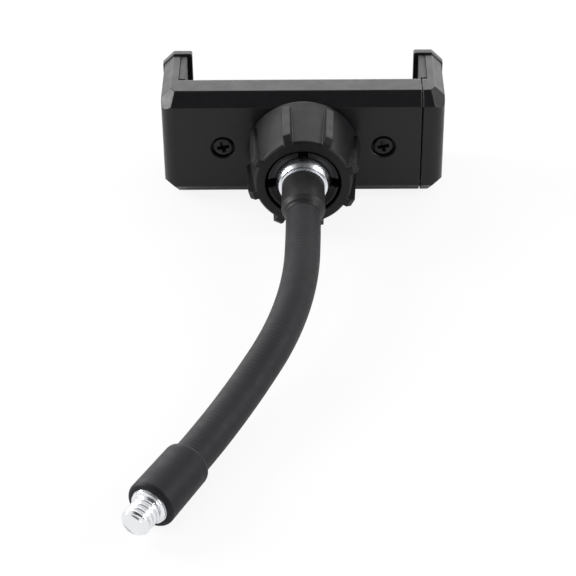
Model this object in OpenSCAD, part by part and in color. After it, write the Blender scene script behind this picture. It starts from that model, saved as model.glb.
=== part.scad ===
// Phone clamp on a ball joint and a bendable neck that ends in a threaded stud.
// X runs along the clamp's opening, +Y out of the phone seat, +Z up.
// The origin is the middle of the face that the phone lies on.

/* [Clamp body] */
// Width over both jaws with the clamp shut
clamp_w = 69; // [64:0.5:90]
// Height of the clamp body
clamp_h = 28.6; // [27:0.2:36]
// Thickness of the clamp body from back face to front face
body_t = 8.3; // [7.8:0.1:10]
// Cut across each corner of the outline
corner_cut = 2.4; // [1.5:0.1:4]
// Slope along the upper and lower back edges
back_bevel = 3; // [1:0.1:3.6]
// Slope across the four cut corners at the back, taken off the back face
corner_bevel = 2.2; // [1:0.1:3]
// How far the slopes across the cut corners run forward
corner_run = 4.5; // [3:0.1:5]
// Radius along the two outer back edges
side_round = 3.4; // [1:0.1:3.8]
// Thickness of the moulded walls
wall = 1.6; // [1.2:0.1:2.2]
// Thickness of the back wall of the housing
back_wall = 2; // [1.7:0.1:2.4]
// Thickness of the front cover
cover_t = 1.5; // [1:0.1:1.8]
// Thickness of the rubber sheet that the phone lies on
seat_pad_t = 0.8; // [0.5:0.1:1.5]
// Margin of the rubber sheet inside the front face
seat_margin = 2.6; // [1.5:0.1:5]

/* [Jaws] */
// Reach of the jaws from the back face to the front of the lips
jaw_reach = 22.1; // [18:0.1:28]
// Thickness of a jaw's wall beside the phone
jaw_wall = 4.1; // [3:0.1:5]
// Thickness of the sliding jaw beside the housing
jaw_block = 5.4; // [5:0.1:7]
// Thickness of a lip
lip_t = 1.8; // [1.5:0.1:3]
// Overhang of a lip past the face of its pad
lip_over = 1.2; // [0.5:0.1:3]
// How far a lip stands proud of the jaw's wall
lip_proud = 0.4; // [0.3:0.05:1]
// Corner cut off the inner end of a lip
lip_corner = 0.35; // [0.2:0.05:0.8]
// Thickness of a jaw pad over its ribs
pad_t = 1.6; // [1.4:0.1:2.5]
// Depth of the grooves between the ribs of a pad
pad_groove = 0.5; // [0.3:0.05:0.8]
// Spacing of the ribs of a pad
pad_pitch = 1.9; // [1.2:0.1:3]
// Travel of the sliding jaw
slide_travel = 28; // [15:0.5:28]
// Gap between the housing and the shut jaw
jaw_gap = 0.3; // [0.2:0.05:0.5]

/* [Slide and springs] */
// Thickness of the plate that joins the two rails
slide_web = 1; // [0.8:0.1:1.3]
// Thickness of the two rails
rail_t = 2.8; // [2:0.1:3]
// Height of each rail
rail_h = 4.4; // [3:0.1:4.5]
// Width of the bar that joins the ends of the rails
bar_w = 3; // [2:0.1:4]
// Radius of the posts around the screws
post_r = 2.4; // [2:0.1:2.5]
// Length of the housing's posts inside its back wall
post_l = 1.3; // [0.8:0.1:1.6]
// Outer radius of a return spring
spring_r = 1.35; // [1:0.05:1.4]
// Wire thickness of a return spring
spring_wire = 0.45; // [0.3:0.05:0.5]
// Distance of the spring pins from the ends of the housing
pin_inset = 5; // [4:0.1:7]
// Radius of a spring pin
pin_r = 0.7; // [0.5:0.05:0.75]

/* [Screws] */
// Distance from the outer face of a jaw to the cover screw beside it
screw_inset = 14.9; // [13.5:0.1:16]
// Radius of a screw head
screw_head_r = 2.45; // [2:0.05:2.6]
// Thickness of a screw head
screw_head_t = 1.1; // [0.9:0.05:1.4]
// Radius of a screw's shank
screw_r = 1.1; // [0.9:0.05:1.3]
// Depth of the recess around a screw head
screw_recess = 1.3; // [1.2:0.05:1.6]
// Length across the cross in a screw head
cross_l = 3; // [2:0.1:3.4]
// Width of each wing of the cross
cross_w = 0.75; // [0.5:0.05:0.9]
// Depth of the cross
cross_depth = 0.75; // [0.4:0.05:0.8]
// Turn of the cross, in degrees
cross_turn = -12; // [-45:1:45]

/* [Ball joint] */
// Diameter of the ball
ball_d = 13.6; // [12:0.1:14]
// Distance from the back face to the middle of the ball
ball_out = 13.4; // [12.5:0.1:15]
// Length of the lock nut
nut_l = 15.9; // [15:0.1:18]
// Outer radius of the lock nut at its back
nut_back_r = 13.5; // [12.8:0.1:14]
// Outer radius of the lock nut at its front rim
nut_front_r = 11.6; // [11.2:0.1:12.5]
// Radius of the hole in the front rim of the lock nut
nut_hole_r = 9.1; // [8.8:0.1:9.5]
// Radius over the grip ribs of the lock nut at their back
nut_rib_r = 14.2; // [13.8:0.1:14.6]
// Radius over the grip ribs near the front rim
nut_rib_front_r = 13.5; // [13:0.1:13.8]
// Slope at the front end of a grip rib
nut_rib_nose = 1.2; // [0.5:0.1:1.6]
// Width of a grip rib
nut_rib_w = 2; // [1:0.1:2.5]
// Distance of the grip ribs from the back of the lock nut
nut_rib_in = 2; // [0.6:0.1:4]
// Number of grip ribs
nut_ribs = 8; // [6:1:12]
// Turn of the first grip rib from the top
nut_rib_start = -17; // [-30:1:30]
// Radius of the threaded boss of the housing
boss_r = 10.3; // [10:0.1:10.6]
// Length of the threaded part of the boss
boss_l = 9.2; // [8:0.1:10]
// How far the fingers of the socket reach past the middle of the ball
finger_past = 2.5; // [1.5:0.1:2.6]
// Width of the slots between the fingers
finger_slot = 2.4; // [0.8:0.1:3]
// Radius of the socket's mouth
mouth_r = 8.05; // [7.8:0.05:8.2]
// Depth of the slope inside the socket's mouth
mouth_t = 0.8; // [0.7:0.05:0.9]
// Radius of the friction seat under the ball
seat_r = 5.4; // [4.5:0.1:5.6]
// Thickness of the friction seat behind the ball
seat_floor = 2; // [1:0.1:2.4]
// How far the flat of the ball stands out around the sleeve
ball_ring = 0.65; // [0.3:0.05:0.8]
// Length of the bare shoulder between the ball's flat and the sleeve
ball_shoulder = 0.46; // [0.2:0.02:0.8]

/* [Neck] */
// Outer diameter of the neck's jacket
jacket_d = 8; // [7:0.1:8.6]
// Wall of the jacket
jacket_wall = 0.9; // [0.6:0.1:1.2]
// Wall of the wound steel hose inside the jacket
hose_wall = 1.4; // [1:0.1:1.8]
// Outer diameter of the sleeve at the ball
ball_sleeve_d = 10.4; // [9.6:0.1:10.6]
// Outer diameter of the sleeve at the stud
stud_sleeve_d = 10.4; // [9.4:0.1:10.6]
// Length of the sleeve at the ball
ball_sleeve_l = 10.5; // [9:0.1:14]
// Length of the sleeve at the stud
stud_sleeve_l = 15.4; // [13:0.1:22]
// How far the jacket runs under each sleeve
jacket_in = 3; // [2:0.1:4]
// Drop of the neck where it leaves the ball, in degrees
start_drop = 5.7; // [0:0.1:10]

/* [Shape of the neck at rest] */
// Length of the first curve, beside the ball
curve_1_l = 13.6; // [5:0.1:40]
// Bend of the first curve, in degrees
curve_1_bend = 2.3; // [0.5:0.1:60]
// Side that the first curve bends to, in degrees from up towards the left
curve_1_side = 118; // [-180:1:180]
// Length of the middle curve
curve_2_l = 33.8; // [5:0.1:60]
// Bend of the middle curve, in degrees
curve_2_bend = 23.3; // [0.5:0.1:60]
// Side that the middle curve bends to, in degrees from up towards the left
curve_2_side = 96; // [-180:1:180]
// Length of the last curve, beside the stud
curve_3_l = 34.2; // [5:0.1:60]
// Bend of the last curve, in degrees
curve_3_bend = 9.4; // [0.5:0.1:60]
// Side that the last curve bends to, in degrees from up towards the left
curve_3_side = 19; // [-180:1:180]

/* [Threaded stud] */
// Major diameter of the stud's thread
thread_d = 6.35; // [5:0.05:6.35]
// Length of the thread
thread_l = 5.5; // [5:0.1:12]
// Height of the shoulder between thread and sleeve
shoulder_t = 0.6; // [0.4:0.1:1.2]
// Diameter of the shoulder
shoulder_d = 7.8; // [7:0.1:9]

/* [Hidden] */
$fn = 96;
eps = 0.01;

// The neck's curves in order: length, bend and side
NECK = [[curve_1_l, curve_1_bend, curve_1_side], [curve_2_l, curve_2_bend, curve_2_side],
    [curve_3_l, curve_3_bend, curve_3_side]];

// Clearances
slide_gap = 0.25;
fit_gap = 0.1;
ball_gap = 0.12;
thread_gap = 0.25;
press_gap = 0.05;
head_gap = 0.4;
nut_gap = 0.3;
edge = 0.5;
thread_lead = 0.3;
recess_edge = 0.3;

// Places along Y
back_y = -(body_t + seat_pad_t);
front_y = -seat_pad_t;
lip_y = back_y + jaw_reach;
ball_y = back_y - ball_out;
nut_y = back_y - nut_gap;

// Places along X and Z
half_w = clamp_w / 2;
half_h = clamp_h / 2;
housing_end = half_w - jaw_block - jaw_gap;
pad_face_x = half_w - jaw_wall - pad_t;
lip_x = pad_face_x - lip_over;
screw_x = half_w - screw_inset;

// Room inside the housing
cavity_h = half_h - back_bevel;
cavity_front = front_y - cover_t;
cover_half_h = half_h - wall - fit_gap;
post_top = back_y + back_wall + post_l;
rail_top = cavity_h - slide_gap;
slide_back = back_y + back_wall + slide_gap;
bar_right = screw_x - post_r - fit_gap - slide_travel;
spring_z = rail_top - rail_h - spring_r - fit_gap;
spring_y = slide_back + slide_web + spring_r + fit_gap;
fixed_pin_x = -(half_w - jaw_wall - pin_inset + 1);
jaw_pin_x = housing_end - pin_inset + 1;

// Ball joint
ball_r = ball_d / 2;
ball_sleeve_r = ball_sleeve_d / 2;
stud_sleeve_r = stud_sleeve_d / 2;
ball_ring_r = ball_sleeve_r + ball_ring;
ball_flat = sqrt(ball_r * ball_r - ball_ring_r * ball_ring_r);
sleeve_at = ball_flat + ball_shoulder;
socket_r = ball_r + ball_gap;
socket_front = ball_y - finger_past;
finger_front_r = nut_hole_r - 2 * thread_gap;
seat_back = ball_y + ball_r + seat_floor;

// Neck
jacket_r = jacket_d / 2;
hose_r = jacket_r - jacket_wall;
hose_in_r = hose_r - hose_wall;
ferrule_r = jacket_r;
core_r = hose_in_r + 0.4;
socket_depth = 3;
plug_l = 3.4;
ring_step = 4;

// Outline of the clamp seen along Y, grown by a margin
module outline(x0, x1, grow, cut_left, cut_right) {
    h = half_h + grow;
    cl = cut_left ? corner_cut + grow : 0.01;
    cr = cut_right ? corner_cut + grow : 0.01;
    polygon([[x0 + cl, -h], [x1 - cr, -h], [x1, -h + cr], [x1, h - cr],
        [x1 - cr, h], [x0 + cl, h], [x0, h - cl], [x0, -h + cl]]);
}

// A plate of the outline from y0 to y1
module outline_plate(x0, x1, y0, y1, grow, cut_left, cut_right) {
    translate([0, y1, 0])
        rotate([90, 0, 0])
            linear_extrude(y1 - y0)
                outline(x0, x1, grow, cut_left, cut_right);
}

// Room that the sloped back edges leave, as a bar along X
module back_slopes(y1) {
    b = back_bevel;
    far = half_h + 5;
    rotate([90, 0, 90])
        translate([0, 0, -clamp_w])
            linear_extrude(2 * clamp_w)
                polygon([[back_y, -half_h + b], [back_y + b + 5, -far],
                    [y1, -far], [y1, far], [back_y + b + 5, far], [back_y, half_h - b]]);
}

// Room that the rounded outer back edges leave, as a block along Z
module back_rounds(y1) {
    r = side_round;
    translate([0, 0, -clamp_h])
        linear_extrude(2 * clamp_h)
            union() {
                translate([-half_w, back_y + r])
                    square([clamp_w, y1 - back_y - r]);
                translate([-half_w + r, back_y])
                    square([clamp_w - 2 * r, y1 - back_y]);
                translate([-half_w + r, back_y + r])
                    circle(r);
                translate([half_w - r, back_y + r])
                    circle(r);
            }
}

// Room that the slopes across two opposite cut corners leave, as a bar turned about Y
module corner_slopes(turn, y1) {
    b = corner_bevel;
    far = (half_w + half_h - corner_cut) / sqrt(2);
    past_run = back_y + 1.5 * corner_run;
    rotate([0, turn, 0])
        rotate([90, 0, 90])
            translate([0, 0, -clamp_w])
                linear_extrude(2 * clamp_w)
                    polygon([[back_y, b - far], [past_run, -far - b / 2], [y1, -far - b / 2],
                        [y1, far + b / 2], [past_run, far + b / 2], [back_y, far - b]]);
}

// Outer form of the clamp body between x0 and x1, up to y1
module body_form(x0, x1, y1, cut_left, cut_right) {
    intersection() {
        outline_plate(x0, x1, back_y, y1, 0, cut_left, cut_right);
        back_slopes(y1 + 1);
        back_rounds(y1 + 1);
        corner_slopes(45, y1 + 1);
        corner_slopes(-45, y1 + 1);
    }
}

// Wall and lip of the jaw on the right
module jaw_wall_and_lip() {
    body_form(half_w - jaw_wall, half_w, lip_y - lip_t + eps, false, true);
    difference() {
        outline_plate(lip_x, half_w + lip_proud, lip_y - lip_t, lip_y, lip_proud, false, true);
        for (side = [-1, 1])
            translate([lip_x, lip_y, side * (half_h + lip_proud)])
                rotate([90, 0, 0])
                    rotate([0, 0, 45])
                        cube([sqrt(2) * lip_corner, sqrt(2) * lip_corner, 3 * lip_t], center = true);
    }
}

// Ribbed rubber pad on the inside of the jaw on the right
module jaw_pad_form() {
    y0 = 2 * fit_gap;
    y1 = lip_y - lip_t - fit_gap;
    h = half_h - edge / 2;
    ribs = floor(2 * h / pad_pitch);
    difference() {
        translate([pad_face_x, y0, -h])
            cube([pad_t - press_gap, y1 - y0, 2 * h]);
        for (i = [1 : ribs - 1])
            translate([pad_face_x, y0 - 1, (i - ribs / 2) * pad_pitch])
                rotate([-90, 0, 0])
                    linear_extrude(y1 - y0 + 2)
                        polygon([[-1, -pad_pitch / 4], [pad_groove, -pad_pitch / 8],
                            [pad_groove, pad_pitch / 8], [-1, pad_pitch / 4]]);
    }
}

// A round bar along Y from y0 to y1
module bar_y(r, y0, y1) {
    translate([0, y1, 0])
        rotate([90, 0, 0])
            cylinder(r = r, h = y1 - y0);
}

// Turned form about the ball joint's axis: [radius, distance from the back face]
module turned_y(points) {
    translate([0, back_y, 0])
        rotate([90, 0, 0])
            rotate_extrude()
                polygon(points);
}

// Threaded boss with the slotted socket for the ball
module ball_boss() {
    front = back_y - socket_front;
    difference() {
        turned_y([[0, -back_wall / 2], [boss_r, -back_wall / 2], [boss_r, boss_l],
            [boss_r - thread_lead, boss_l + thread_lead], [finger_front_r, front - edge / 2],
            [finger_front_r - edge / 2, front], [0, front]]);
        translate([0, ball_y, 0])
            sphere(socket_r);
        turned_y([[0, front - mouth_t], [mouth_r - 2 * mouth_t, front - mouth_t], [mouth_r, front],
            [mouth_r, front + 1], [0, front + 1]]);
        bar_y(seat_r + fit_gap, ball_y, seat_back + fit_gap);
        for (turn = [0, 90])
            rotate([0, turn, 0])
                translate([-boss_r - 1, socket_front - 1, -finger_slot / 2])
                    cube([2 * boss_r + 2, ball_y + ball_r / 2 - socket_front + 1, finger_slot]);
    }
}

// Stepped hole for a screw in the housing, with a sloped edge around its head
module screw_hole() {
    recess_r = screw_head_r + head_gap;
    bar_y(recess_r, back_y - 1, back_y + screw_recess);
    bar_y(screw_r + 0.2, back_y, post_top + 1);
    translate([0, back_y - recess_edge, 0])
        rotate([-90, 0, 0])
            cylinder(r1 = recess_r + 2 * recess_edge, r2 = recess_r, h = 2 * recess_edge);
}

module rear_housing() {
    color("#26272a")
        difference() {
            union() {
                difference() {
                    body_form(-half_w, housing_end, front_y, true, false);
                    // Room for the slide, open to the right
                    translate([-half_w + jaw_wall, back_y + back_wall, -cavity_h])
                        cube([clamp_w, cavity_front - back_y - back_wall + eps, 2 * cavity_h]);
                    // Rebate for the front cover
                    translate([-half_w + jaw_wall, cavity_front, -half_h + wall])
                        cube([clamp_w, 2 * cover_t, clamp_h - 2 * wall]);
                }
                mirror([1, 0, 0])
                    jaw_wall_and_lip();
                ball_boss();
                for (side = [-1, 1])
                    translate([side * screw_x, 0, 0])
                        bar_y(post_r, back_y + back_wall - eps, post_top);
                for (side = [-1, 1])
                    translate([fixed_pin_x, 0, side * spring_z])
                        bar_y(pin_r, back_y + back_wall - eps, spring_y + spring_r);
            }
            for (side = [-1, 1])
                translate([side * screw_x, 0, 0])
                    screw_hole();
        }
}

module front_cover() {
    color("#2b2c2f")
        difference() {
            union() {
                translate([-half_w + jaw_wall + fit_gap, cavity_front, -cover_half_h])
                    cube([housing_end + half_w - jaw_wall - fit_gap, cover_t, 2 * cover_half_h]);
                for (side = [-1, 1])
                    translate([side * screw_x, 0, 0])
                        bar_y(post_r, post_top + press_gap, cavity_front + eps);
            }
            for (side = [-1, 1])
                translate([side * screw_x, 0, 0])
                    bar_y(screw_r + 0.02, back_y, cavity_front + cover_t / 2);
        }
}

module seat_pad() {
    x0 = -half_w + jaw_wall + pad_t + seat_margin;
    x1 = housing_end - seat_margin;
    color("#303134")
        translate([x0, front_y, -half_h + seat_margin])
            cube([x1 - x0, seat_pad_t, clamp_h - 2 * seat_margin]);
}

module fixed_jaw_pad() {
    color("#4b4c4e")
        mirror([1, 0, 0])
            jaw_pad_form();
}

module sliding_jaw_pad() {
    color("#4b4c4e")
        jaw_pad_form();
}

module sliding_jaw() {
    block_x = half_w - jaw_block;
    rail_z = rail_top - rail_h;
    color("#26272a") {
        body_form(block_x, half_w, front_y, false, true);
        jaw_wall_and_lip();
        difference() {
            translate([bar_right - bar_w, slide_back, -rail_top])
                cube([block_x - bar_right + bar_w + 1, slide_web, 2 * rail_top]);
            // Slot that clears the posts
            translate([bar_right, slide_back - 1, -post_r - slide_gap])
                cube([jaw_pin_x - 2 - bar_right, slide_web + 2, 2 * (post_r + slide_gap)]);
        }
        for (z = [-rail_top, rail_z])
            translate([bar_right - bar_w, slide_back, z])
                cube([block_x - bar_right + bar_w + 1, rail_t, rail_h]);
        for (side = [-1, 1])
            translate([jaw_pin_x, 0, side * spring_z])
                bar_y(pin_r, slide_back + slide_web - eps, spring_y + spring_r);
    }
}

// Cross-recess screw with its head towards -Y
module cover_screw(x) {
    head_y = back_y + screw_recess - screw_head_t;
    tip_y = cavity_front + cover_t / 2 - fit_gap;
    color("#1a1a1c")
        translate([x, 0, 0])
            difference() {
                union() {
                    translate([0, head_y, 0])
                        rotate([-90, 0, 0])
                            rotate_extrude()
                                polygon([[0, 0], [screw_head_r - edge, 0],
                                    [screw_head_r, 0.8 * edge], [screw_head_r, screw_head_t],
                                    [0, screw_head_t]]);
                    bar_y(screw_r, head_y + screw_head_t - eps, tip_y);
                }
                for (turn = [cross_turn, cross_turn + 90])
                    rotate([0, turn, 0])
                        translate([-cross_l / 2, head_y - 1, -cross_w / 2])
                            cube([cross_l, cross_depth + 1, cross_w]);
            }
}

// Wound return spring along X with a hook at each end
module jaw_spring(z) {
    hook_r = pin_r + fit_gap + spring_wire / 2;
    x0 = fixed_pin_x + hook_r + spring_r;
    x1 = jaw_pin_x - hook_r - spring_r;
    color("#b9bcc0")
        translate([0, spring_y, z]) {
            difference() {
                translate([x0, 0, 0])
                    rotate([0, 90, 0])
                        cylinder(r = spring_r, h = x1 - x0);
                translate([x0 - 1, 0, 0])
                    rotate([0, 90, 0])
                        cylinder(r = spring_r - spring_wire, h = x1 - x0 + 2);
            }
            for (end = [[fixed_pin_x, 1], [jaw_pin_x, -1]])
                translate([end[0], 0, 0])
                    rotate([90, 0, 0])
                        union() {
                            rotate_extrude()
                                translate([hook_r, 0])
                                    circle(spring_wire / 2, $fn = 24);
                            translate([end[1] * (hook_r + spring_r / 2), 0, 0])
                                rotate([0, 90, 0])
                                    cylinder(r = spring_wire / 2, h = spring_r, center = true, $fn = 24);
                            translate([end[1] * (hook_r + spring_r), 0, 0])
                                rotate([0, 90, 0])
                                    cylinder(r = spring_r, h = spring_wire, center = true);
                        }
        }
}

module jaw_spring_upper() {
    jaw_spring(spring_z);
}

module jaw_spring_lower() {
    jaw_spring(-spring_z);
}

// Grip rib of the lock nut on top, as long as the nut from back to front
module nut_rib(back, front, root_r) {
    start = back + nut_rib_in;
    translate([-nut_rib_w / 2, back_y, 0])
        rotate([90, 0, 90])
            linear_extrude(nut_rib_w)
                polygon([[-start, root_r], [-start, nut_back_r - edge], [-start - 2 * edge, nut_rib_r],
                    [nut_rib_nose - front, nut_rib_front_r],
                    [-front, nut_rib_front_r - nut_rib_nose], [-front, root_r]]);
}

module lock_nut() {
    bore_r = boss_r + thread_gap;
    back = back_y - nut_y;
    front = back + nut_l;
    rim_t = 1.1;
    color("#1f2022")
        difference() {
            union() {
                turned_y([[0, back], [nut_back_r - edge, back], [nut_back_r, back + edge],
                    [nut_front_r, front - edge], [nut_front_r - edge, front], [0, front]]);
                for (i = [0 : nut_ribs - 1])
                    rotate([0, nut_rib_start + i * 360 / nut_ribs, 0])
                        nut_rib(back, front, bore_r + edge / 2);
            }
            turned_y([[0, back - 1], [bore_r, back - 1], [bore_r, boss_l + thread_lead],
                [nut_hole_r, front - rim_t], [nut_hole_r, front + 1], [0, front + 1]]);
        }
}

module ball_seat() {
    color("#d8d8d2")
        difference() {
            bar_y(seat_r, ball_y + ball_r / 2, seat_back);
            translate([0, ball_y, 0])
                sphere(ball_r + ball_gap / 2);
        }
}

// Turns and shifts as matrices, so that the neck's route can be worked out
function turn_x(a) = [[1, 0, 0, 0], [0, cos(a), -sin(a), 0], [0, sin(a), cos(a), 0], [0, 0, 0, 1]];
function turn_z(a) = [[cos(a), -sin(a), 0, 0], [sin(a), cos(a), 0, 0], [0, 0, 1, 0], [0, 0, 0, 1]];
function shift(v) = [[1, 0, 0, v[0]], [0, 1, 0, v[1]], [0, 0, 1, v[2]], [0, 0, 0, 1]];

// The way along a curve of the neck up to a share of its length
function curve_radius(curve) = curve[0] * 180 / (PI * curve[1]);
function past(curve, share) =
    turn_z(curve[2])
    * shift([0, curve_radius(curve) * (1 - cos(share * curve[1])),
        curve_radius(curve) * sin(share * curve[1])])
    * turn_x(-share * curve[1])
    * turn_z(-curve[2]);

// The neck's own frame, Z along it and Y up: at the ball, and where curve n begins
function ball_frame() = shift([0, ball_y, 0]) * turn_x(90 + start_drop);
function curve_frame(n) = n == 0
    ? ball_frame() * shift([0, 0, sleeve_at + ball_sleeve_l])
    : curve_frame(n - 1) * past(NECK[n - 1], 1);

// Frames of the rings that a tube along the neck is drawn through
function curve_steps(curve) = ceil(curve[0] / ring_step);
function neck_frames(before, after) = concat(
    [curve_frame(0) * shift([0, 0, -before])],
    [for (i = [0 : len(NECK) - 1])
        for (k = [0 : curve_steps(NECK[i]) - 1])
            curve_frame(i) * past(NECK[i], k / curve_steps(NECK[i]))],
    [curve_frame(len(NECK)), curve_frame(len(NECK)) * shift([0, 0, after])]);
function ring(frame, r, sides) = [for (i = [0 : sides - 1])
    let (p = frame * [r * cos(i * 360 / sides), r * sin(i * 360 / sides), 0, 1])
        [p[0], p[1], p[2]]];

// A hollow tube along the whole neck, run on straight at both ends
module neck_tube(outer, inner, before, after, sides) {
    frames = neck_frames(before, after);
    rings = len(frames);
    inside = rings * sides;
    points = concat(
        [for (f = frames) each ring(f, outer, sides)],
        [for (f = frames) each ring(f, inner, sides)]);
    walls = [for (j = [0 : rings - 2])
        for (i = [0 : sides - 1])
            let (a = j * sides + i, b = j * sides + (i + 1) % sides)
                each [[a, a + sides, b + sides], [a, b + sides, b],
                    [inside + a, inside + b + sides, inside + a + sides],
                    [inside + a, inside + b, inside + b + sides]]];
    last = (rings - 1) * sides;
    ends = [for (i = [0 : sides - 1])
        let (n = (i + 1) % sides)
            each [[i, n, inside + n], [i, inside + n, inside + i],
                [last + i, inside + last + n, last + n],
                [last + i, inside + last + i, inside + last + n]]];
    polyhedron(points, concat(walls, ends), convexity = 10);
}

module at_neck_start() {
    multmatrix(ball_frame())
        children();
}

module at_curve(n) {
    multmatrix(curve_frame(n))
        children();
}

// Metal cup from z0 to z1 that holds the hose's end, its open end at z0
module ferrule(z0, z1) {
    translate([0, 0, z0])
        rotate_extrude()
            polygon([[hose_r + press_gap, 0], [ferrule_r, 0], [ferrule_r, z1 - z0],
                [core_r + press_gap, z1 - z0], [core_r + press_gap, z1 - z0 - socket_depth],
                [hose_r + press_gap, z1 - z0 - socket_depth]]);
}

module neck_jacket() {
    color("#38393b")
        neck_tube(jacket_r, hose_r + press_gap, jacket_in, jacket_in, 24);
}

module neck_hose() {
    before = ball_sleeve_l - socket_depth - 2 * press_gap;
    after = stud_sleeve_l - socket_depth - 2 * press_gap;
    color("#8d9094")
        neck_tube(hose_r, hose_in_r, before, after, 16);
}

module ball_end_ferrule() {
    color("#c9c6b0")
        at_curve(0)
            mirror([0, 0, 1])
                ferrule(jacket_in + press_gap, ball_sleeve_l - press_gap);
}

module stud_end_ferrule() {
    color("#c9c6b0")
        at_curve(len(NECK))
            ferrule(jacket_in + press_gap, stud_sleeve_l - press_gap);
}

// Rubber sleeve along Z over the jacket's end, wider at z = 0, where the jacket enters
module sleeve(length, enter_r, end_r) {
    bore_r = jacket_r + press_gap;
    rotate_extrude()
        polygon([[bore_r, 0], [enter_r - 0.9, 0], [enter_r - 0.3, 0.3], [enter_r, 0.9],
            [end_r, length - edge], [end_r - edge, length], [bore_r, length]]);
}

module ball_end_sleeve() {
    color("#2e2f31")
        at_curve(0)
            mirror([0, 0, 1])
                sleeve(ball_sleeve_l, ball_sleeve_r, ball_sleeve_r - 0.15);
}

module stud_end_sleeve() {
    color("#2e2f31")
        at_curve(len(NECK))
            sleeve(stud_sleeve_l, stud_sleeve_r, stud_sleeve_r);
}

module ball_stud() {
    color("#d9dcdf")
        at_neck_start()
            union() {
                intersection() {
                    sphere(ball_r);
                    translate([0, 0, -ball_r - 1])
                        cylinder(r = ball_d, h = ball_r + 1 + ball_flat);
                }
                cylinder(r = ball_sleeve_r, h = sleeve_at);
                cylinder(r = core_r, h = sleeve_at + socket_depth);
                translate([0, 0, sleeve_at])
                    cylinder(r = hose_in_r - press_gap, h = socket_depth + plug_l);
            }
}

module threaded_stud() {
    thread_r = thread_d / 2;
    tip = stud_sleeve_l + shoulder_t + thread_l;
    color("#d9dcdf")
        at_curve(len(NECK))
            rotate_extrude()
                polygon([[0, stud_sleeve_l - socket_depth - plug_l],
                    [hose_in_r - press_gap, stud_sleeve_l - socket_depth - plug_l],
                    [hose_in_r - press_gap, stud_sleeve_l - socket_depth],
                    [core_r, stud_sleeve_l - socket_depth], [core_r, stud_sleeve_l],
                    [shoulder_d / 2, stud_sleeve_l], [shoulder_d / 2, stud_sleeve_l + shoulder_t],
                    [thread_r, stud_sleeve_l + shoulder_t], [thread_r, tip - 0.7],
                    [thread_r - 0.7, tip], [0, tip]]);
}

rear_housing();
front_cover();
seat_pad();
fixed_jaw_pad();
sliding_jaw();
sliding_jaw_pad();
cover_screw(-screw_x);  // cover_screw_left
cover_screw(screw_x);  // cover_screw_right
jaw_spring_upper();
jaw_spring_lower();
lock_nut();
ball_seat();
ball_stud();
ball_end_ferrule();
ball_end_sleeve();
neck_hose();
neck_jacket();
stud_end_ferrule();
stud_end_sleeve();
threaded_stud();
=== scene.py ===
import math

import bpy
from mathutils import Matrix, Vector


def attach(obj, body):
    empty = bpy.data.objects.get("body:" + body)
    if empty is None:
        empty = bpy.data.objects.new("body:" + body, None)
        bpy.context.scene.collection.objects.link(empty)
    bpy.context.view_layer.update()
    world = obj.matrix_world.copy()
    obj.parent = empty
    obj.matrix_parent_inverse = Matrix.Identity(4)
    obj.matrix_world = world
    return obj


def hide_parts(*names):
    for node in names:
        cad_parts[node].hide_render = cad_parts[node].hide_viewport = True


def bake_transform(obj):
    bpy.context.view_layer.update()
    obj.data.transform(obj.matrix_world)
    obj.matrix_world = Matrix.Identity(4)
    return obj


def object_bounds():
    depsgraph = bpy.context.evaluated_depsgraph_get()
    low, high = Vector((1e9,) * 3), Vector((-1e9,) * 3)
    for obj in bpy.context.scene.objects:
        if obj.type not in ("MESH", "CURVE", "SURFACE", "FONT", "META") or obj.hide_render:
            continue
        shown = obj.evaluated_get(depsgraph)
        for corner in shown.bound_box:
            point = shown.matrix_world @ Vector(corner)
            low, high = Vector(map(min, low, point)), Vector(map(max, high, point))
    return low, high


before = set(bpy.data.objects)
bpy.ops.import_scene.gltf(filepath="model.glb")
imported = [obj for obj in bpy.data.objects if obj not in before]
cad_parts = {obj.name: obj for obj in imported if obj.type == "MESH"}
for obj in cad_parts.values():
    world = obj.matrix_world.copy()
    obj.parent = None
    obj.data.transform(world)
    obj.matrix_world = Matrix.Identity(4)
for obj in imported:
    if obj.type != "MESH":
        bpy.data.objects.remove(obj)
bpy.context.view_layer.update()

# Sizes of the clamp and the ball joint, in mm
MM = 0.001
CLAMP_W = 69
BODY_T = 8.3
SEAT_T = 0.8
BACK_WALL = 2
SLIDE_GAP = 0.25
FIT_GAP = 0.1
BACK_Y = -(BODY_T + SEAT_T)
BALL_OUT = 13.4
BALL = (0.0, BACK_Y - BALL_OUT, 0.0)
BALL_R = 6.8
BALL_RING_R = 5.85
BALL_SHOULDER = 0.46
SLEEVE_AT = math.sqrt(BALL_R ** 2 - BALL_RING_R ** 2) + BALL_SHOULDER
FLOOR_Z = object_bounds()[0].z

# Sizes of the neck, in mm and degrees
DROP = 5.7
NECK = ((13.6, 2.3, 118.0), (33.8, 23.3, 96.0), (34.2, 9.4, 19.0))
NECK_LENGTH = sum(curve[0] for curve in NECK)
JACKET_R = 4.0
JACKET_SWELL = 0.1
HOSE_R = 3.05
SLEEVE_BORE = JACKET_R + 0.05
BALL_SLEEVE_L = 10.5
BALL_SLEEVE_R = 5.12
BALL_SLEEVE_TOP = 5.2
STUD_SLEEVE_L = 15.4
STUD_SLEEVE_R = (5.15, 5.33)
SIDES = 96


# Frames and mesh helpers

def turn(angle, axis):
    return Matrix.Rotation(math.radians(angle), 4, axis)


def shift(x, y, z):
    return Matrix.Translation((x, y, z))


def smooth(x):
    """Smooth step from 0 at x = 0 to 1 at x = 1."""
    x = min(1.0, max(0.0, x))
    return x * x * (3 - 2 * x)


def bump_at(x, width):
    return math.exp(-(x / width) ** 2)


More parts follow.
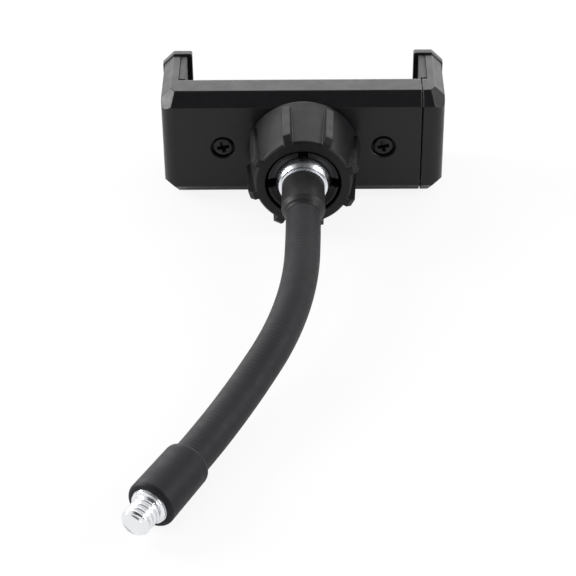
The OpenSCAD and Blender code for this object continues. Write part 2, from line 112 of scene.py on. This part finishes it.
def past(length, bend, direction):
    """The way along one curve of the neck, in mm."""
    if bend == 0:
        return shift(0, 0, length)
    radius = length / math.radians(bend)
    angle = math.radians(bend)
    return (turn(direction, "Z")
            @ shift(0, radius * (1 - math.cos(angle)), radius * math.sin(angle))
            @ turn(-bend, "X") @ turn(-direction, "Z"))


BALL_FRAME = shift(*BALL) @ turn(90 + DROP, "X")
SLEEVE_FRAME = BALL_FRAME @ shift(0, 0, SLEEVE_AT)


def neck_frame(s):
    """Frame on the neck's centre line, s mm past the sleeve at the ball: Z along it, Y up."""
    m = SLEEVE_FRAME @ shift(0, 0, BALL_SLEEVE_L)
    if s <= 0:
        return m @ shift(0, 0, s)
    for length, bend, direction in NECK:
        if s < length:
            return m @ past(s, bend * s / length, direction)
        m = m @ past(length, bend, direction)
        s -= length
    return m @ shift(0, 0, s)


STUD_FRAME = neck_frame(NECK_LENGTH)


def mesh_object(name, verts, faces, material):
    mesh = bpy.data.meshes.new(name)
    mesh.from_pydata([tuple(MM * c for c in v) for v in verts], [], faces)
    mesh.validate()
    mesh.update()
    mesh.polygons.foreach_set("use_smooth", [True] * len(mesh.polygons))
    obj = bpy.data.objects.new(name, mesh)
    bpy.context.scene.collection.objects.link(obj)
    mesh.materials.append(material)
    return obj


def tube(name, frames, radius, sides, material, cap=False, loop=False):
    """A tube through frames, with a radius for each ring and angle; cap closes its ends, loop joins them."""
    verts = []
    for j, m in enumerate(frames):
        for i in range(sides):
            a = 2 * math.pi * i / sides
            r = radius(j, a)
            verts.append(m @ Vector((r * math.cos(a), r * math.sin(a), 0)))
    faces = []
    rings = len(frames)
    for j in range(rings if loop else rings - 1):
        here, there = j * sides, ((j + 1) % rings) * sides
        for i in range(sides):
            n = (i + 1) % sides
            faces.append((here + i, here + n, there + n, there + i))
    if cap:
        last = (rings - 1) * sides
        faces.append(tuple(range(sides - 1, -1, -1)))
        faces.append(tuple(last + i for i in range(sides)))
    return mesh_object(name, verts, faces, material)


def turned(name, profile, m, sides, material):
    """A closed turned form about Z of frame m, from (radius, height) pairs in mm."""
    frames = [m @ shift(0, 0, z) for _, z in profile]
    return tube(name, frames, lambda j, a: profile[j][0], sides, material, cap=True)


# Materials

def noise(tree, scale, detail, source):
    n = tree.nodes.new("ShaderNodeTexNoise")
    n.inputs["Scale"].default_value = scale
    n.inputs["Detail"].default_value = detail
    tree.links.new(source, n.inputs["Vector"])
    return n.outputs["Fac"]


def stretch(tree, value, low, high):
    """Noise between about 0.3 and 0.7 brought to a range."""
    m = tree.nodes.new("ShaderNodeMapRange")
    m.inputs["From Min"].default_value = 0.3
    m.inputs["From Max"].default_value = 0.7
    m.inputs["To Min"].default_value = low
    m.inputs["To Max"].default_value = high
    tree.links.new(value, m.inputs["Value"])
    return m.outputs["Result"]


def finish(name, color, roughness, metallic=0.0, specular=0.5, edge=0.0, grain=2500.0, grain_depth=0.00001,
           grain_strength=0.3, mottle=0.06, spread=0.06, patch=90.0, streak=(1, 1, 1)):
    """A surface with a fine grain and a slight change of tone and roughness; edge rounds its edges."""
    mat = bpy.data.materials.new(name)
    mat.use_nodes = True
    tree = mat.node_tree
    bsdf = tree.nodes["Principled BSDF"]
    bsdf.inputs["Metallic"].default_value = metallic
    bsdf.inputs["Specular IOR Level"].default_value = specular
    place = tree.nodes.new("ShaderNodeTexCoord").outputs["Object"]
    mapping = tree.nodes.new("ShaderNodeMapping")
    mapping.inputs["Scale"].default_value = streak
    tree.links.new(place, mapping.inputs["Vector"])
    where = mapping.outputs["Vector"]
    # Tone
    tint = tree.nodes.new("ShaderNodeVectorMath")
    tint.operation = "SCALE"
    tint.inputs[0].default_value = color
    tone = stretch(tree, noise(tree, patch, 5.0, where), 1 - mottle, 1 + mottle)
    tree.links.new(tone, tint.inputs["Scale"])
    tree.links.new(tint.outputs["Vector"], bsdf.inputs["Base Color"])
    # Roughness
    rough = stretch(tree, noise(tree, patch * 5, 4.0, where), roughness - spread, roughness + spread)
    tree.links.new(rough, bsdf.inputs["Roughness"])
    # Grain and rounded edges
    relief = tree.nodes.new("ShaderNodeBump")
    relief.inputs["Strength"].default_value = grain_strength
    relief.inputs["Distance"].default_value = grain_depth
    tree.links.new(noise(tree, grain, 3.0, where), relief.inputs["Height"])
    if edge:
        bevel = tree.nodes.new("ShaderNodeBevel")
        bevel.samples = 8
        bevel.inputs["Radius"].default_value = edge
        tree.links.new(bevel.outputs["Normal"], relief.inputs["Normal"])
    tree.links.new(relief.outputs["Normal"], bsdf.inputs["Normal"])
    return mat


abs_black = finish("abs_black", (0.0066, 0.0066, 0.0079), 0.37, specular=0.30, edge=0.0005)
nut_black = finish("nut_black", (0.0050, 0.0049, 0.0060), 0.48, specular=0.25, edge=0.0005)
pad_rubber = finish("pad_rubber", (0.060, 0.060, 0.061), 0.70, specular=0.35, edge=0.0002, grain=900.0,
                    grain_depth=0.00003, mottle=0.4, patch=900.0, streak=(1, 0.08, 1))
sheet_rubber = finish("sheet_rubber", (0.030, 0.030, 0.031), 0.75, specular=0.3, edge=0.0003, grain=1400.0,
                      grain_depth=0.00003, mottle=0.1)
sleeve_rubber = finish("sleeve_rubber", (0.0128, 0.0124, 0.0158), 0.50, specular=0.15, mottle=0.12)
shrink_tube = finish("shrink_tube", (0.0142, 0.0140, 0.0148), 0.46, specular=0.18, mottle=0.12)
jacket_vinyl = finish("jacket_vinyl", (0.0176, 0.0172, 0.0194), 0.52, specular=0.14, mottle=0.1)
screw_black = finish("screw_black", (0.005, 0.005, 0.0053), 0.30, specular=0.30, edge=0.0001)
plated = finish("plated", (0.82, 0.83, 0.85), 0.12, metallic=1.0, spread=0.04, mottle=0.03,
                grain_strength=0.1)
ball_plating = finish("ball_plating", (0.88, 0.90, 0.93), 0.27, metallic=1.0, spread=0.05, mottle=0.05,
                      patch=300.0, grain_strength=0.05)
spring_wire = finish("spring_wire", (0.45, 0.46, 0.48), 0.35, metallic=1.0)
nylon = finish("nylon", (0.68, 0.68, 0.64), 0.45, edge=0.0002)

LOOKS = {
    "rear_housing": abs_black, "front_cover": abs_black, "sliding_jaw": abs_black,
    "seat_pad": sheet_rubber, "fixed_jaw_pad": pad_rubber, "sliding_jaw_pad": pad_rubber,
    "cover_screw_left": screw_black, "cover_screw_right": screw_black,
    "jaw_spring_upper": spring_wire, "jaw_spring_lower": spring_wire,
    "lock_nut": nut_black, "ball_seat": nylon, "ball_stud": ball_plating,
    "ball_end_ferrule": plated, "stud_end_ferrule": plated,
    "ball_end_sleeve": shrink_tube, "stud_end_sleeve": sleeve_rubber,
    "neck_hose": spring_wire, "neck_jacket": jacket_vinyl, "threaded_stud": plated,
}
for name, material in LOOKS.items():
    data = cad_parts[name].data
    data.materials.clear()
    data.materials.append(material)

# The two cross-recess screws that hold the front cover
SCREW_INSET = 14.9
SCREW_X = CLAMP_W / 2 - SCREW_INSET
HEAD_SUNK = 0.2
HEAD_Y = BACK_Y + HEAD_SUNK
HEAD_R = 2.45
HEAD_T = 1.1
SHANK_R = 1.1
SHANK_L = 6.5
SHANK_LEAD = (0.4, 0.6)
HEAD_CROWN = ((0.0, -0.45), (0.06, -0.28), (0.22, -0.13), (0.5, -0.05))
SCREW_SIDES = 64
SHARP_ANGLE = 35
CROSS_TURN = 12
CROSS_TOP = (1.75, 0.53)
CROSS_FOOT = (0.5, 0.3)
CROSS_DEPTH = 1.5
CROSS_ABOVE = 0.3


def cross_corners(arm, half, z):
    """The twelve corners of a cross in a plane, from the length and half width of its arms."""
    quarter = [(arm, -half), (arm, half), (half, half)]
    return [turn(90 * k, "Z") @ Vector((x, y, z)) for k in range(4) for x, y in quarter]


def cross_screw(name, node, x):
    """A screw with a crowned head, given by inset from the rim and height, and a tapered cross in it."""
    m = shift(x, HEAD_Y, 0) @ turn(90, "X")
    lead_in, lead_l = SHANK_LEAD
    tip = -HEAD_T - SHANK_L
    profile = [(SHANK_R - lead_in, tip), (SHANK_R, tip + lead_l), (SHANK_R, -HEAD_T), (HEAD_R, -HEAD_T)]
    profile += [(HEAD_R - inset, z) for inset, z in HEAD_CROWN] + [(HEAD_R / 2, 0.0), (0.3, 0.02)]
    screw = turned(name, profile, m, SCREW_SIDES, screw_black)
    cut = m @ turn(CROSS_TURN, "Z")
    top = cross_corners(*CROSS_TOP, CROSS_ABOVE)
    corners = top + cross_corners(*CROSS_FOOT, -CROSS_DEPTH)
    n = len(top)
    sides = [(i, i + n, (i + 1) % n + n, (i + 1) % n) for i in range(n)]
    ends = [tuple(range(n)), tuple(range(2 * n - 1, n - 1, -1))]
    cutter = mesh_object(name + "_cutter", [cut @ c for c in corners], sides + ends, screw_black)
    recess = screw.modifiers.new("cross", "BOOLEAN")
    recess.operation = "DIFFERENCE"
    recess.solver = "EXACT"
    recess.object = cutter
    seen = screw.evaluated_get(bpy.context.evaluated_depsgraph_get())
    cut_mesh = bpy.data.meshes.new_from_object(seen)
    screw.modifiers.clear()
    screw.data = cut_mesh
    cut_mesh.set_sharp_from_angle(angle=math.radians(SHARP_ANGLE))
    bpy.data.objects.remove(cutter)
    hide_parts(node)
    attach(screw, "clamp")


cross_screw("cross_screw_left", "cover_screw_left", -SCREW_X)
cross_screw("cross_screw_right", "cover_screw_right", SCREW_X)

# The neck's jacket, drawn down a little over the turns of the hose inside it
RING_STEP = 0.18
COIL_PITCH = 1.08
RIDGE = 0.028
NECK_SIDES = 64
JACKET_IN = 3.0


def places_along(inside, step):
    """Places along the neck, from inside mm within one sleeve to as far within the other."""
    count = int((NECK_LENGTH + 2 * inside) / step) + 1
    return [-inside + step * j for j in range(count)]


neck_places = places_along(JACKET_IN, RING_STEP)


def jacket_radius(j, a):
    """The hose's turns show through unevenly, on a tube that swells a little between the sleeves."""
    s = neck_places[j]
    wave = 0.5 - 0.5 * math.cos(2 * math.pi * s / COIL_PITCH - a)
    uneven = 0.6 + 0.4 * math.sin(0.31 * s + 0.8) * math.sin(0.13 * s + 2 * a)
    swell = JACKET_SWELL * smooth((s + 0.1) / 0.3) * smooth((NECK_LENGTH + 0.1 - s) / 0.3)
    return JACKET_R + swell - RIDGE * uneven * wave ** 2


def along_neck(piece, node):
    """The piece takes the CAD node's place along the neck, from the sleeve at the ball to the sleeve at the
    stud.
    """
    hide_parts(node)
    start, end = neck_frame(0).translation * MM, STUD_FRAME.translation * MM
    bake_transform(piece)


jacket = tube("jacket_skin", [neck_frame(s) for s in neck_places], jacket_radius, NECK_SIDES, jacket_vinyl,
              cap=True)
along_neck(jacket, "neck_jacket")

# The wound hose inside the jacket
HOSE_STEP = 0.5
HOSE_IN = 7.0
WIRE_DIP = 0.2
HOSE_SIDES = 24
hose = tube("wound_hose", [neck_frame(s) for s in places_along(HOSE_IN, HOSE_STEP)],
            lambda j, a: HOSE_R - WIRE_DIP * (j % 2), HOSE_SIDES, spring_wire, cap=True)
along_neck(hose, "neck_hose")

# The shrunk tube at the ball and the rubber sleeve at the stud
SLEEVE_STEP = 0.2
END_STEP = 0.05
END_ZONE = 1.2
SLEEVE_OVER = 0.06
BALL_SLEEVE_ROUND = 0.5
STUD_SLEEVE_ROUND = (1.5, 1.0)
DRAW_FROM = 8.1
DRAW_RUN = 2.3
FOLD_PLACES = (7.95, 8.7, 9.4)
FOLD_WIDTH = 0.32
DIP_WIDTH = 0.34
FOLD_DEPTH = 0.13
FOLD_TILT = 0.25
WAVINESS = 0.02


def corner(x, radius):
    """How far a rounded corner draws in, x mm from the end face."""
    if x >= radius:
        return 0.0
    return radius - math.sqrt(radius ** 2 - (radius - x) ** 2)


def sleeve_skin(name, m, length, radius, material, node, body):
    """A sleeve along Z of frame m: its outside by a radius for height and angle, and its bore."""
    near = [END_STEP * k for k in range(int(END_ZONE / END_STEP))]
    middle = [END_ZONE + SLEEVE_STEP * k for k in range(int((length - 2 * END_ZONE) / SLEEVE_STEP))]
    heights = near + middle + [length - z for z in reversed(near)]
    rings = [(z, None) for z in heights] + [(length, SLEEVE_BORE), (0.0, SLEEVE_BORE)]
    frames = [m @ shift(0, 0, z) for z, _ in rings]

    def ring_radius(j, a):
        z, bore = rings[j]
        return bore or radius(z, a)

    skin = tube(name, frames, ring_radius, SIDES, material, loop=True)
    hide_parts(node)
    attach(skin, body)


def ball_sleeve_radius(z, a):
    """Shrunk tube: straight over the ferrule, then drawn down to the jacket with two soft folds."""
    tilt = FOLD_TILT * math.sin(a + 0.6)
    fold, dip, last_fold = [z - place - tilt for place in FOLD_PLACES]
    least = SLEEVE_BORE + SLEEVE_OVER
    r = BALL_SLEEVE_R - (BALL_SLEEVE_R - least) * smooth((z - DRAW_FROM - tilt) / DRAW_RUN)
    uneven = 0.65 + 0.35 * math.sin(2 * a + 0.7)
    r += FOLD_DEPTH * uneven * bump_at(fold, FOLD_WIDTH)
    r -= FOLD_DEPTH * uneven * bump_at(dip, DIP_WIDTH)
    r += FOLD_DEPTH * (1.3 - uneven) * bump_at(last_fold, FOLD_WIDTH)
    r += WAVINESS * math.sin(3 * a + 0.9 * z) * smooth(z / 3) * smooth((10 - z) / 2)
    return max(min(r, BALL_SLEEVE_TOP), least) - corner(z, BALL_SLEEVE_ROUND)


def stud_sleeve_radius(z, a):
    """Sleeve that widens a little towards the stud, with rounded ends."""
    narrow, wide = STUD_SLEEVE_R
    neck_round, stud_round = STUD_SLEEVE_ROUND
    r = narrow + (wide - narrow) * z / STUD_SLEEVE_L
    return max(r - corner(z, neck_round), SLEEVE_BORE + 0.1) - corner(STUD_SLEEVE_L - z, stud_round)


sleeve_skin("ball_sleeve_skin", SLEEVE_FRAME, BALL_SLEEVE_L, ball_sleeve_radius, shrink_tube,
            "ball_end_sleeve", "ball_end")
sleeve_skin("stud_sleeve_skin", STUD_FRAME, STUD_SLEEVE_L, stud_sleeve_radius, sleeve_rubber,
            "stud_end_sleeve", "stud_end")

# The threaded stud
PITCH = 25.4 / 20
MAJOR = 6.35 / 2
DEPTH = 0.74
SHOULDER_T = 0.6
SHOULDER_R = 3.9
THREAD_L = 5.5
LEAD = 0.7
ROOT_SHARE = 0.10
FLANK_SHARE = 0.55
STEPS_A_TURN = 16
SHOULDER_FOOT = 0.1
SHOULDER_EDGE = 0.12
PLUG_R = 1.6
PLUG_L = 6.4
thread_frame = STUD_FRAME @ shift(0, 0, STUD_SLEEVE_L)
thread_step = PITCH / STEPS_A_TURN
thread_places = [SHOULDER_T + thread_step * j for j in range(int(THREAD_L / thread_step))]
thread_places.append(SHOULDER_T + THREAD_L)


def thread_radius(j, a):
    """A right-hand helix with flat crests, turned down to a lead at the tip."""
    z = thread_places[j]
    turn_share = (z / PITCH - a / (2 * math.pi)) % 1.0
    flank = min(1.0, max(0.0, (abs(2 * turn_share - 1) - ROOT_SHARE) / FLANK_SHARE))
    crest = MAJOR - DEPTH * (1 - flank)
    chamfer = MAJOR - LEAD + SHOULDER_T + THREAD_L - z
    return min(crest, chamfer)


thread = tube("stud_thread", [thread_frame @ shift(0, 0, z) for z in thread_places], thread_radius, SIDES,
              plated, cap=True)
shoulder_profile = [(PLUG_R, -PLUG_L), (PLUG_R, 0),
                    (SHOULDER_R - SHOULDER_FOOT, 0), (SHOULDER_R, SHOULDER_FOOT),
                    (SHOULDER_R, SHOULDER_T - SHOULDER_EDGE), (SHOULDER_R - SHOULDER_EDGE, SHOULDER_T)]
shoulder = turned("stud_shoulder", shoulder_profile, thread_frame, SIDES, plated)
for piece in (thread, shoulder):
    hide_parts("threaded_stud")
    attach(piece, "stud_end")

# The two return springs
WIRE_R = 0.22
SPRING_R = 1.35
FIXED_PIN = -26.4
JAW_PIN = 24.8
PIN_R = 0.7
SPRING_PITCH = 0.62
SPRING_SIDES = 16
LOOP_STEPS = 32
LOOP_LEAD = 1.2
WIRE_SIDES = 8
SLIDE_WEB = 1
RAIL_TOP = 11.05
RAIL_H = 4.4
SPRING_Y = BACK_Y + BACK_WALL + SLIDE_GAP + SLIDE_WEB + SPRING_R + FIT_GAP
SPRING_Z = RAIL_TOP - RAIL_H - SPRING_R - FIT_GAP


def coil_points(zc):
    """Wound wire along X with a loop over a pin at each end."""
    hook = PIN_R + FIT_GAP + WIRE_R
    x0, x1 = FIXED_PIN + hook + LOOP_LEAD, JAW_PIN - hook - LOOP_LEAD
    steps = SPRING_SIDES * int((x1 - x0) / SPRING_PITCH)
    r = SPRING_R - WIRE_R
    loop = [2 * math.pi * k / LOOP_STEPS for k in range(LOOP_STEPS + 1)]
    left = [Vector((FIXED_PIN + hook * math.cos(a), SPRING_Y, zc + hook * math.sin(a))) for a in loop]
    coil = []
    for k in range(steps + 1):
        a = 2 * math.pi * k / SPRING_SIDES
        coil.append(Vector((x0 + (x1 - x0) * k / steps, SPRING_Y + r * math.cos(a), zc + r * math.sin(a))))
    right = [Vector((JAW_PIN - hook * math.cos(a), SPRING_Y, zc - hook * math.sin(a))) for a in loop]
    return left + coil + right


def wire_frames(points):
    """Frames along a wire that turn as little as they can from one to the next."""
    frames = []
    up = Vector((0, 0, 1))
    for k, p in enumerate(points):
        along = (points[min(k + 1, len(points) - 1)] - points[max(k - 1, 0)]).normalized()
        side = up.cross(along)
        if side.length < 0.001:
            side = Vector((1, 0, 0)).cross(along)
        side.normalize()
        up = along.cross(side).normalized()
        m = Matrix((side, up, along)).transposed().to_4x4()
        m.translation = p
        frames.append(m)
    return frames


def return_spring(name, node, zc):
    """The coil stretches from the pin in the clamp to the pin in the jaw."""
    coil = tube(name, wire_frames(coil_points(zc)), lambda j, a: WIRE_R, WIRE_SIDES, spring_wire, cap=True)
    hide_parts(node)
    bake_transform(coil)


return_spring("spring_coil_upper", "jaw_spring_upper", SPRING_Z)
return_spring("spring_coil_lower", "jaw_spring_lower", -SPRING_Z)


# Floor

def seen_rays(tree):
    """1 for rays from the camera and for mirrored or refracted ones, else 0."""
    path = tree.nodes.new("ShaderNodeLightPath")
    both = tree.nodes.new("ShaderNodeMath")
    both.operation = "MAXIMUM"
    tree.links.new(path.outputs["Is Camera Ray"], both.inputs[0])
    tree.links.new(path.outputs["Is Glossy Ray"], both.inputs[1])
    three = tree.nodes.new("ShaderNodeMath")
    three.operation = "MAXIMUM"
    tree.links.new(both.outputs[0], three.inputs[0])
    tree.links.new(path.outputs["Is Transmission Ray"], three.inputs[1])
    return three.outputs[0]


FLOOR_SHARE = 0.88
FLOOR_SIZE = 4.0
SHADE_REACH = 0.06


def floor_material():
    """Pale matt floor that shows white to seen rays; in mirrored ones that white carries a painted contact
    shadow near the object, from ambient occlusion.
    """
    floor_mat = bpy.data.materials.new("floor")
    floor_mat.use_nodes = True
    tree = floor_mat.node_tree
    floor_bsdf = tree.nodes["Principled BSDF"]
    floor_bsdf.inputs["Base Color"].default_value = (0.8, 0.8, 0.8, 1)
    floor_bsdf.inputs["Roughness"].default_value = 0.9
    floor_bsdf.inputs["Specular IOR Level"].default_value = 0.0
    white = tree.nodes.new("ShaderNodeEmission")
    white.inputs["Color"].default_value = (1, 1, 1, 1)
    white.inputs["Strength"].default_value = 1.0
    # Painted shade: ambient occlusion dims the floor's white for mirrored rays near the object, a painted
    # contact shadow.
    painted_contact_shade = tree.nodes.new("ShaderNodeAmbientOcclusion")
    painted_contact_shade.samples = 4
    painted_contact_shade.inputs["Distance"].default_value = SHADE_REACH
    painted_shade_share = tree.nodes.new("ShaderNodeMath")
    painted_shade_share.operation = "MULTIPLY"
    painted_shade_share.inputs[1].default_value = FLOOR_SHARE
    tree.links.new(painted_contact_shade.outputs["AO"], painted_shade_share.inputs[0])
    is_camera = tree.nodes.new("ShaderNodeLightPath").outputs["Is Camera Ray"]
    share = tree.nodes.new("ShaderNodeMix")
    share.inputs["B"].default_value = FLOOR_SHARE
    tree.links.new(is_camera, share.inputs["Factor"])
    tree.links.new(painted_shade_share.outputs[0], share.inputs["A"])
    part = tree.nodes.new("ShaderNodeMath")
    part.operation = "MULTIPLY"
    tree.links.new(seen_rays(tree), part.inputs[0])
    tree.links.new(share.outputs["Result"], part.inputs[1])
    choose = tree.nodes.new("ShaderNodeMixShader")
    tree.links.new(part.outputs[0], choose.inputs["Fac"])
    tree.links.new(floor_bsdf.outputs["BSDF"], choose.inputs[1])
    tree.links.new(white.outputs["Emission"], choose.inputs[2])
    tree.links.new(choose.outputs["Shader"], tree.nodes["Material Output"].inputs["Surface"])
    return floor_mat


bpy.ops.mesh.primitive_plane_add(size=FLOOR_SIZE, location=(0, 0, FLOOR_Z))
floor = bpy.context.object
floor.name = "floor"
floor.data.materials.append(floor_material())

# World
SOFT_LIGHT = 0.6
DIM_TOWARDS = (0.0, -0.55, 0.84)
DIM_EDGE = (0.55, 0.85)
DIM_LIGHT = 0.08


def studio_world():
    """White for seen rays, with a dim patch overhead towards the camera; a soft even light for the rest."""
    world = bpy.data.worlds.new("studio")
    bpy.context.scene.world = world
    world.use_nodes = True
    tree = world.node_tree
    soft = tree.nodes["Background"]
    soft.inputs["Color"].default_value = (1, 1, 1, 1)
    soft.inputs["Strength"].default_value = SOFT_LIGHT
    shown = tree.nodes.new("ShaderNodeBackground")
    shown.inputs["Color"].default_value = (1, 1, 1, 1)
    near = tree.nodes.new("ShaderNodeVectorMath")
    near.operation = "DOT_PRODUCT"
    near.inputs[1].default_value = DIM_TOWARDS
    tree.links.new(tree.nodes.new("ShaderNodeTexCoord").outputs["Generated"], near.inputs[0])
    fall = tree.nodes.new("ShaderNodeMapRange")
    fall.interpolation_type = "SMOOTHSTEP"
    fall.inputs["From Min"].default_value = DIM_EDGE[0]
    fall.inputs["From Max"].default_value = DIM_EDGE[1]
    fall.inputs["To Min"].default_value = 1.0
    fall.inputs["To Max"].default_value = DIM_LIGHT
    tree.links.new(near.outputs["Value"], fall.inputs["Value"])
    tree.links.new(fall.outputs["Result"], shown.inputs["Strength"])
    choose = tree.nodes.new("ShaderNodeMixShader")
    tree.links.new(seen_rays(tree), choose.inputs["Fac"])
    tree.links.new(soft.outputs["Background"], choose.inputs[1])
    tree.links.new(shown.outputs["Background"], choose.inputs[2])
    tree.links.new(choose.outputs["Shader"], tree.nodes["World Output"].inputs["Surface"])


studio_world()

# Lamps: name, direction from the clamp, then distance, width and height in m, then radiance
SOFTBOXES = (
    ("light_behind", (0.0, 0.94, 0.34), 0.95, 1.8, 0.78, 2.7),
    ("light_left", (-0.91, 0.15, 0.38), 0.8, 0.36, 0.45, 13.0),
    ("light_right", (0.87, -0.12, 0.48), 0.8, 0.2, 0.4, 12.0),
)


def softbox(name, direction, distance, width, height, radiance):
    """A rectangular lamp that faces the clamp from a direction, as bright as radiance all over."""
    light = bpy.data.lights.new(name, "AREA")
    light.shape = "RECTANGLE"
    light.size = width
    light.size_y = height
    light.energy = radiance * math.pi * width * height
    obj = bpy.data.objects.new(name, light)
    bpy.context.scene.collection.objects.link(obj)
    away = Vector(direction).normalized()
    obj.location = away * distance
    obj.rotation_euler = (-away).to_track_quat("-Z", "Y").to_euler()


for row in SOFTBOXES:
    softbox(*row)

# Camera, fitted to the photo: its place in mm, its angles and its lens
CAMERA = (0.768, -404.896, 249.589)
LENS = 119.07
SENSOR = 36.0
PITCH_DOWN = math.radians(36.454)
YAW = math.radians(-0.708)
ROLL = math.radians(-0.693)
level = math.cos(PITCH_DOWN)
forward = Vector((math.sin(YAW) * level, math.cos(YAW) * level, -math.sin(PITCH_DOWN)))
right = Vector((math.cos(YAW), -math.sin(YAW), 0))
up = right.cross(forward)
right_rolled = right * math.cos(ROLL) + up * math.sin(ROLL)
up_rolled = up * math.cos(ROLL) - right * math.sin(ROLL)
view = Matrix((right_rolled, up_rolled, -forward)).transposed().to_4x4()
view.translation = Vector(CAMERA) * MM
camera_data = bpy.data.cameras.new("camera")
camera_data.sensor_width = SENSOR
camera_data.lens = LENS
camera_data.clip_start = 0.01
camera = bpy.data.objects.new("camera", camera_data)
bpy.context.scene.collection.objects.link(camera)
camera.matrix_world = view
bpy.context.scene.camera = camera
bpy.context.scene.view_settings.view_transform = "Standard"
